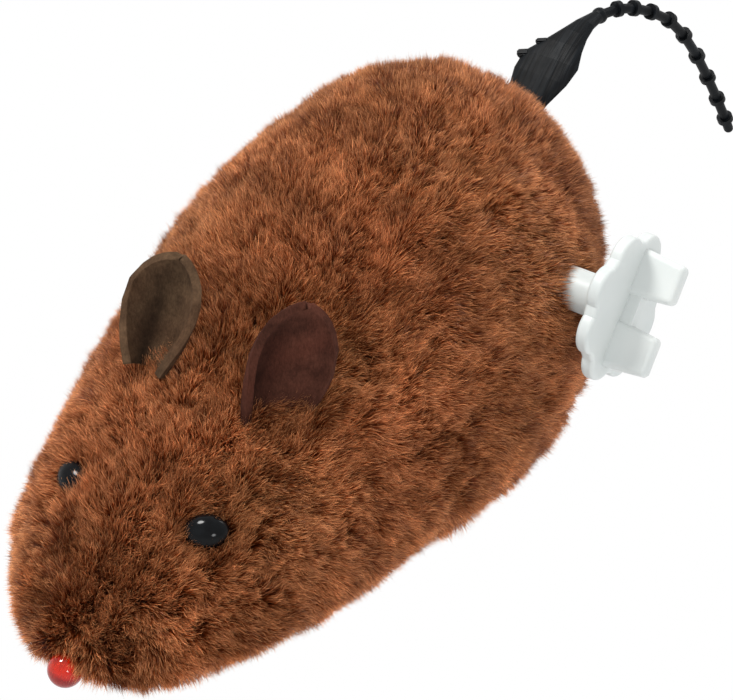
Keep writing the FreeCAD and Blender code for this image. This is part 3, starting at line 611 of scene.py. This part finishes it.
def strand_set(rng, surface, normals, lie):
    """Each strand's length, lean from upright, heading over the skin, and whether it strays."""
    count = len(surface)
    length = PILE_LENGTH + LENGTH_DRIFT * wave_field(rng, surface, 8 * MM)
    length *= rng.uniform(*LENGTH_SPREAD, count)
    far_flank = np.clip(-surface[:, 0] / FLANK_X, 0, 1)
    low = fade(surface[:, 2], HEM_SHORT_HEIGHT)
    length *= 1 + RUMP_LONGER * rump_share(surface) - HEM_SHORTER * low - FAR_FLANK_SHORTER * far_flank
    lean = LEAN + LEAN_DRIFT * wave_field(rng, surface, 4 * MM) + rng.normal(0, LEAN_SCATTER, count)
    stray = rng.random(count) < STRAY_SHARE
    lean = np.clip(np.radians(np.where(stray, rng.uniform(*STRAY_LEAN, count), lean)), *LEAN_LIMITS)
    yaw = rng.normal(0, YAW_SCATTER, count) + np.where(stray, rng.normal(0, STRAY_YAW, count), 0)
    yaw += 0.5 * wave_field(rng, surface, 4.5 * MM) + 0.3 * wave_field(rng, surface, 2.2 * MM)
    heading = unit(lie * np.cos(yaw)[:, None] + np.cross(normals, lie) * np.sin(yaw)[:, None])
    return length, lean, heading, stray


def turned_away(heading, outward, push):
    """Headings bent outwards by a push for each strand."""
    return unit(heading + outward * push[:, None])


def parted_by_beads(surface, normals, length, lean, heading):
    """The pile opens and stands up round the eyes and the nose."""
    keep = np.ones(len(surface), bool)
    for place, radius, along, stretch, clear, push in BEADS:
        away = surface - np.array(place)
        long_way = (away @ np.array(along))[:, None] * np.array(along)
        distance = np.linalg.norm(away - long_way * (1 - 1 / stretch), axis=1)
        keep &= distance > clear * radius
        near = fade(distance - radius, BEAD_PARTING)
        outward = unit(away - dot(away, normals) * normals)
        facing = np.clip(-dot(heading, outward)[:, 0], 0, 1)
        heading = turned_away(heading, outward, push * near * facing)
        lean = lean * (1 - 0.6 * push * near)
        length = length * (1 + 0.3 * fade(distance - radius, BEAD_MOUND))
    return keep, length, lean, heading


def parted_by_stem(surface, normals, lean, heading):
    """The pile stands up round the key's stem and leaves it free."""
    stem = surface - np.array(KEY_AXIS)
    from_stem = np.hypot(stem[:, 1], stem[:, 2])
    on_key_side = surface[:, 0] > KEY_SIDE_X
    keep = ~(on_key_side & (from_stem < STEM_RADIUS + STEM_GAP))
    near = np.where(on_key_side, fade(from_stem - STEM_RADIUS, STEM_PARTING), 0)
    outward = stem * np.array((0, 1, 1))
    outward = unit(outward - dot(outward, normals) * normals)
    facing = np.clip(-dot(heading, outward)[:, 0] + 0.3, 0, 1)
    return keep, lean * (1 - 0.8 * near), turned_away(heading, outward, 0.5 * near * facing)


def clumped(rng, roots, tips, pull):
    """Draws the tips together round scattered clump centres. Also gives each strand's clump."""
    count = int(SKIN_AREA / CLUMP_SPACING**2)
    chosen = rng.choice(len(roots), size=min(count, len(roots)), replace=False)
    tree = KDTree(len(chosen))
    for k, index in enumerate(chosen):
        tree.insert(roots[index], k)
    tree.balance()
    clump = np.array([tree.find(root)[1] for root in roots])
    leader = chosen[clump]
    target = tips[leader] + CLUMP_SPREAD * (roots - roots[leader])
    return tips + (target - tips) * pull[:, None], clump


def strand_lines(rng, surface, normals, length, lean, heading, stray):
    """The points of each strand, a curve from its root through a middle to its tip."""
    roots = surface - normals * PILE_DEPTH
    tips = roots + (normals * np.cos(lean)[:, None] + heading * np.sin(lean)[:, None]) * length[:, None]
    pull = CLUMP_PULL + CLUMP_PULL_DRIFT * wave_field(rng, surface, 10 * MM)
    pull = np.clip(pull, *CLUMP_PULL_LIMITS)
    tips, clump = clumped(rng, roots, tips, pull * np.where(stray, STRAY_PULL, 1))
    tips += rng.normal(0, TIP_JITTER, tips.shape)
    tips[:, 2] = np.maximum(tips[:, 2], LOWEST_TIP)
    middle = roots + normals * (MIDDLE_RISE * length * np.cos(lean * 0.55))[:, None]
    middle += heading * (MIDDLE_REACH * length * np.sin(lean * 0.8))[:, None]
    middle += rng.normal(0, MIDDLE_JITTER, middle.shape)
    s = np.linspace(0, 1, STEPS + 1)[None, :, None]
    lines = (1 - s) ** 2 * roots[:, None] + 2 * s * (1 - s) * middle[:, None] + s**2 * tips[:, None]
    return lines, clump


def strand_halves(rng, lines, normals):
    """From each point of each strand to its edge, turned at random about the strand."""
    count = len(lines)
    tangent = unit(np.gradient(lines, axis=1))
    spin = rng.normal(0, 0.7, count)[:, None, None]
    flat = unit(np.cross(tangent, normals[:, None]))
    across = flat * np.cos(spin) + np.cross(tangent, flat) * np.sin(spin)
    widths = STRAND_WIDTH * WIDTHS[None, :, None] * rng.uniform(*WIDTH_SPREAD, count)[:, None, None]
    return across * widths / 2


def strand_colours(rng, surface, clump, stray):
    """A colour for each point of each strand: dark roots that are partly painted shade, russet middles, pale
    tips that are partly a painted highlight, painted glints on some tips and painted shade on the rump.
    """
    count = len(surface)
    clump_tone = rng.normal(0, 1, clump.max() + 1)[clump]
    tone = CLUMP_TONE * clump_tone + STRAND_TONE * rng.normal(0, 1, count)
    tone += PLACE_TONE * wave_field(rng, surface, 15 * MM)
    tone += PLACE_TONE * wave_field(rng, surface, 3.5 * MM)
    light = np.clip(TONE + tone, 0, 1.2)[:, None]
    along = np.linspace(0, 1, STEPS + 1)[None, :] ** 2 * (0.6 + 0.5 * light)
    # Stray strands get more of the pale tip colour, partly a painted highlight.
    along = np.clip(along + np.where(stray, 0.18, 0)[:, None], 0, 1)[..., None]
    lower = ROOT_COLOUR_AND_SHADE + (MIDDLE_COLOUR - ROOT_COLOUR_AND_SHADE) * np.clip(along * 2, 0, 1)
    colours = lower + (TIP_COLOUR_AND_HIGHLIGHT - lower) * np.clip(along * 2 - 1, 0, 1)
    colours *= 0.75 + 0.42 * light[..., None]
    # Painted glint: the last two points of some strands are made brighter.
    glinting = rng.random(count) < GLINT_SHARE
    colours[:, -2:] *= 1 + GLINT * glinting[:, None, None]
    # Painted shade: the strands are made darker towards the rump.
    colours *= (1.05 - RUMP_PAINTED_SHADE * rump_share(surface))[:, None, None]
    colours[..., 0] *= 1 + RED_DRIFT * wave_field(rng, surface, 20 * MM)[:, None]
    return colours


def strands():
    """Points, half widths, colours and skin row of every strand, as arrays with one row a strand."""
    rng = np.random.default_rng(SEED)
    rows, columns = sample_skin(rng, STRANDS)
    surface = on_grid(SKIN, rows, columns)
    normals = unit(on_grid(SKIN_NORMAL, rows, columns))
    lie = combed(surface, normals, rng)
    surface = raised_round_key(surface, normals)
    length, lean, heading, stray = strand_set(rng, surface, normals, lie)
    off_beads, length, lean, heading = parted_by_beads(surface, normals, length, lean, heading)
    off_stem, lean, heading = parted_by_stem(surface, normals, lean, heading)
    lines, clump = strand_lines(rng, surface, normals, length, lean, heading, stray)
    halves = strand_halves(rng, lines, normals)
    colours = strand_colours(rng, surface, clump, stray)
    keep = off_beads & off_stem
    return lines[keep], halves[keep], colours[keep], rows[keep]


def pile_piece(name, line, half, colour):
    """One mesh of tapered strands, each a ribbon of quads that ends in a triangle."""
    count = len(line)
    pairs = np.stack([line[:, :STEPS] - half[:, :STEPS], line[:, :STEPS] + half[:, :STEPS]], 2)
    vertices = np.concatenate([pairs.reshape(count, 2 * STEPS, 3), line[:, STEPS:]], 1)
    shades = np.concatenate([np.repeat(colour[:, :STEPS], 2, axis=1), colour[:, STEPS:]], 1)
    ribbon = [corner for k in range(STEPS - 1) for corner in (2 * k, 2 * k + 1, 2 * k + 3, 2 * k + 2)]
    ribbon += [2 * STEPS - 2, 2 * STEPS - 1, 2 * STEPS]
    size = 2 * STEPS + 1
    loops = (np.array(ribbon)[None] + size * np.arange(count)[:, None]).ravel()
    corners = np.tile([4] * (STEPS - 1) + [3], count)
    starts = np.concatenate([[0], np.cumsum(corners)[:-1]])
    mesh = bpy.data.meshes.new(name)
    mesh.vertices.add(size * count)
    mesh.vertices.foreach_set("co", vertices.astype(np.float32).ravel())
    mesh.loops.add(len(loops))
    mesh.loops.foreach_set("vertex_index", loops.astype(np.int32))
    mesh.polygons.add(len(starts))
    mesh.polygons.foreach_set("loop_start", starts.astype(np.int32))
    smoothed(mesh)
    mesh.update(calc_edges=True)
    # Strand colours with their painted shade and painted highlights, read by the pile material.
    point_colours(mesh, "strand_tint_and_painted_light", np.concatenate([shades, np.ones_like(shades[..., :1])], -1))
    return placed(mesh, "pile")


def pile():
    """The pile, in pieces from nose to rump."""
    *fields, rows = strands()
    pieces = np.array_split(np.argsort(rows, kind="stable"), PILE_PIECES)
    return [
        pile_piece(f"pile_{number:02d}", *(field[chosen] for field in fields))
        for number, chosen in enumerate(pieces, 1)
    ]


# ------------------------------------------------------------------ ears
EAR_ACROSS = 36  # cells
EAR_RISE = 40
EAR_SUEDE = 0.85 * MM
EAR_EDGE = 0.16 * MM
EAR_RIPPLE = 0.09 * MM
EAR_OVER_TIP = 0.6 * MM  # the leaf is this much taller than from foot to tip
EAR_BELLY = 0.9 * MM  # how far back its middle bows
EAR_TIP_FORWARD = 1.5 * MM
# Share of the ear's height, and half its width there.
EAR_HEIGHTS = [0.0, 0.12, 0.3, 0.5, 0.68, 0.82, 0.91, 0.97, 1.0]
EAR_HALF_WIDTHS = np.array([3.3, 4.0, 4.7, 4.9, 4.5, 3.5, 2.55, 1.5, 0.35]) * MM
# How far the foot and the tip stand from the CAD ear's in mm, the way that the cup opens, how far
# the left and right edges roll in (as one looks into the ear) in radians at the foot and at the
# tip, how much of that is at the very edge, and where across the ear the painted shade of its crease lies.
EARS = {
    "ear_left": {
        "foot_shift": (-3.0, 0.8, 0.9),
        "tip_shift": (0.6, 0.4, -0.7),
        "opening": (0.62, -0.68, 0.42),
        "rolls": ((2.7, 1.5), (0.8, 0.4)),
        "edge_power": 1.9,
        "crease": -0.62,
    },
    "ear_right": {
        "foot_shift": (-1.2, 2.0, 1.4),
        "tip_shift": (1.0, 0.6, -1.7),
        "opening": (0.2, -0.85, 0.46),
        "rolls": ((1.7, 0.6), (2.1, 1.2)),
        "edge_power": 1.0,
        "crease": -0.4,
    },
}


def ear_grid(node, foot_shift, tip_shift, opening, rolls, edge_power):
    """Points of a cupped leaf from the foot to the tip of a CAD ear, and the way that it faces."""
    points = np.array([v.co for v in frame["nodes"][node].data.vertices])
    order = np.argsort(points[:, 2])
    foot = points[order[: len(order) // 12]].mean(0) + np.array(foot_shift) * MM
    tip = points[order[-len(order) // 30 :]].mean(0) + np.array(tip_shift) * MM
    up = unit(tip - foot)
    facing = np.array(opening)
    facing = unit(facing - up * facing.dot(up))
    right = np.cross(up, facing)
    height = np.linalg.norm(tip - foot) + EAR_OVER_TIP
    grid = np.zeros((EAR_RISE + 1, EAR_ACROSS + 1, 3))
    step = 2 / EAR_ACROSS
    for i in range(EAR_RISE + 1):
        v = i / EAR_RISE
        half = np.interp(v, EAR_HEIGHTS, EAR_HALF_WIDTHS)
        bow = EAR_BELLY * math.sin(math.pi * v) - EAR_TIP_FORWARD * v * v
        middle = foot + up * (height * v) - facing * bow
        for side, (foot_roll, tip_roll) in zip((-1, 1), rolls):
            roll = foot_roll + (tip_roll - foot_roll) * min(v * 1.25, 1)
            x = z = 0.0
            for k in range(EAR_ACROSS // 2 + 1):
                grid[i, EAR_ACROSS // 2 + side * k] = middle + right * (side * x) + facing * z
                turned = roll * (k * step + step / 2) ** edge_power
                x += half * step * math.cos(turned)
                z += half * step * math.sin(turned)
    return grid, facing


def suede_ear(node, crease, **shape):
    """A leaf of suede with painted shade along a crease up from its foot."""
    grid, facing = ear_grid(node, **shape)
    rng = np.random.default_rng(SEED + len(node))
    ripple = wave_field(rng, grid.reshape(-1, 3), 5 * MM).reshape(grid.shape[:2])
    grid += facing * (EAR_RIPPLE * ripple)[..., None]
    faces = [face for _, _, face in sheet_faces(*grid.shape[:2])]
    leaf = sheet_object(f"suede_{node}", grid, faces, f"suede_{node[4:]}")

    u = np.linspace(-1, 1, EAR_ACROSS + 1)[None]
    v = np.linspace(0, 1, EAR_RISE + 1)[:, None]
    # Painted shade: darker along the crease, most at the foot.
    shade = 1 - 0.78 * np.exp(-(((u - crease - 0.25 * v) / (0.3 + 0.12 * v)) ** 2)) * (1 - v) ** 0.5
    point_colours(leaf.data, "painted_crease_shade", np.repeat(shade.reshape(-1, 1), 4, axis=1))

    solid = leaf.modifiers.new("thickness", "SOLIDIFY")
    solid.thickness = EAR_SUEDE
    solid.offset = 0
    edge = leaf.modifiers.new("edge", "BEVEL")
    edge.width = EAR_EDGE
    edge.segments = 2
    edge.angle_limit = math.radians(50)
    bpy.context.view_layer.update()
    shaped = bpy.data.meshes.new_from_object(leaf.evaluated_get(bpy.context.evaluated_depsgraph_get()))
    leaf.modifiers.clear()
    leaf.data = shaped
    smoothed(shaped)
    return leaf


# ------------------------------------------------------------------ tail
# Middle of each nub on the blade's right edge and its length along that edge, in mm.
TAIL_NUBS = [((-2.55, 46.0, 23.6), 0.75), ((-1.35, 47.7, 24.5), 0.6)]
NUB_WIDTH = 1.3 * MM
NUB_HEIGHT = 0.9 * MM
BLADE_PITCH = math.radians(28)
BLADE_EDGE_YAW = math.radians(24)


def tail_nubs():
    """Two small moulding nubs on the edge of the tail's blade."""
    work = bmesh.new()
    turn = Matrix.Rotation(BLADE_PITCH, 4, "X") @ Matrix.Rotation(BLADE_EDGE_YAW, 4, "Z")
    for place, length in TAIL_NUBS:
        scale = Matrix.Diagonal((NUB_WIDTH, length * MM, NUB_HEIGHT, 1))
        bmesh.ops.create_cube(work, size=1, matrix=Matrix.Translation(Vector(place) * MM) @ turn @ scale)
    bmesh.ops.bevel(work, geom=work.edges[:], offset=0.15 * MM, segments=2, affect="EDGES")
    mesh = bpy.data.meshes.new("tail_nubs")
    work.to_mesh(mesh)
    work.free()
    return placed(mesh, "tail")


# ------------------------------------------------------------------ camera and light
VIEW_AZIMUTH = math.radians(32.5)
VIEW_ELEVATION = math.radians(37.4)
VIEW_DISTANCE = 0.6
LENS = 299.0
MIDDLE = Vector((0, 0, 0.015))
AIM_RIGHT = 6.39 * MM  # from the middle to the centre of the view
AIM_UP = 0.69 * MM
WHITE = (1, 1, 1)
# Name, place, size, power and colour.
LIGHTS = [
    ("key_light", (-0.28, -0.05, 0.62), 0.2, 3.4, (1.0, 0.985, 0.96)),
    ("fill_light", (0.5, -0.45, 0.35), 0.16, 0.9, WHITE),
    ("rim_light", (0.1, 0.6, 0.45), 0.3, 0.8, WHITE),
]
SURROUND = {"From Min": 0.0, "From Max": 0.3, "To Min": 1.0, "To Max": 0.72}  # strength by height


def camera():
    level = math.cos(VIEW_ELEVATION)
    back = Vector((math.sin(VIEW_AZIMUTH) * level, -math.cos(VIEW_AZIMUTH) * level, math.sin(VIEW_ELEVATION)))
    right = Vector((math.cos(VIEW_AZIMUTH), math.sin(VIEW_AZIMUTH), 0))
    up = back.cross(right)
    data = bpy.data.cameras.new("camera")
    data.lens = LENS
    data.sensor_width = 36
    data.clip_start = 0.01
    data.clip_end = 10
    obj = bpy.data.objects.new("camera", data)
    turn = Matrix((right, up, back)).transposed().to_4x4()
    place = MIDDLE + right * AIM_RIGHT + up * AIM_UP + back * VIEW_DISTANCE
    obj.matrix_world = Matrix.Translation(place) @ turn
    bpy.context.scene.collection.objects.link(obj)
    bpy.context.scene.camera = obj


def area_light(name, place, size, power, colour):
    """A round light that points at the middle of the mouse."""
    data = bpy.data.lights.new(name, "AREA")
    data.shape = "DISK"
    data.size = size
    data.energy = power
    data.color = colour
    obj = bpy.data.objects.new(name, data)
    obj.location = place
    obj.rotation_euler = (MIDDLE - Vector(place)).to_track_quat("-Z", "Y").to_euler()
    bpy.context.scene.collection.objects.link(obj)


def surround():
    """A white surround, a little darker above."""
    world = bpy.data.worlds.new("studio")
    world.use_nodes = True
    tree = world.node_tree
    background = tree.nodes["Background"]
    background.inputs["Color"].default_value = (*WHITE, 1)
    place = tree.nodes.new("ShaderNodeTexCoord")
    split = tree.nodes.new("ShaderNodeSeparateXYZ")
    strength = tree.nodes.new("ShaderNodeMapRange")
    for socket, value in SURROUND.items():
        strength.inputs[socket].default_value = value
    tree.links.new(place.outputs["Generated"], split.inputs["Vector"])
    tree.links.new(split.outputs["Z"], strength.inputs["Value"])
    tree.links.new(strength.outputs["Result"], background.inputs["Strength"])
    bpy.context.scene.world = world
    bpy.context.scene.view_settings.view_transform = "Standard"


# ------------------------------------------------------------------ assembly
CAD_PAINT = {
    "shell": ["body_shell"],
    "base": ["base_plate"],
    "case": ["case_left", "case_right"],
    "spring": ["mainspring"],
    "gear": ["main_wheel", "idler_gear", "drive_pinion"],
    "wheel": ["wheel_left", "wheel_right", "front_wheel"],
    "tyre": ["tyre_left", "tyre_right"],
    "key": ["winding_key"],
    "nose": ["nose_bead"],
    "tail": ["tail"],
    "steel": [
        "base_screws",
        "case_screws",
        "spring_post",
        "spring_arbor",
        "idler_shaft",
        "drive_axle",
        "front_axle",
    ],
}

camera()
surround()
for light in LIGHTS:
    area_light(*light)
for material, nodes in CAD_PAINT.items():
    for node in nodes:
        paint(frame["nodes"][node], material)

cloth = backing()
pile_pieces = pile()
for piece in [cloth] + pile_pieces:
    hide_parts("plush_cover")
    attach(piece, "mouse")
for node, shape in EARS.items():
    leaf = suede_ear(node, **shape)
    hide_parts(node)
    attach(leaf, "mouse")
for node, place, axes in (("eye_left", LEFT_EYE, LEFT_FRAME), ("eye_right", RIGHT_EYE, RIGHT_FRAME)):
    bead = eye_bead(node, place, axes)
    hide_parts(node)
    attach(bead, "mouse")
nubs = tail_nubs()
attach(nubs, "mouse")

bpy.context.view_layer.update()
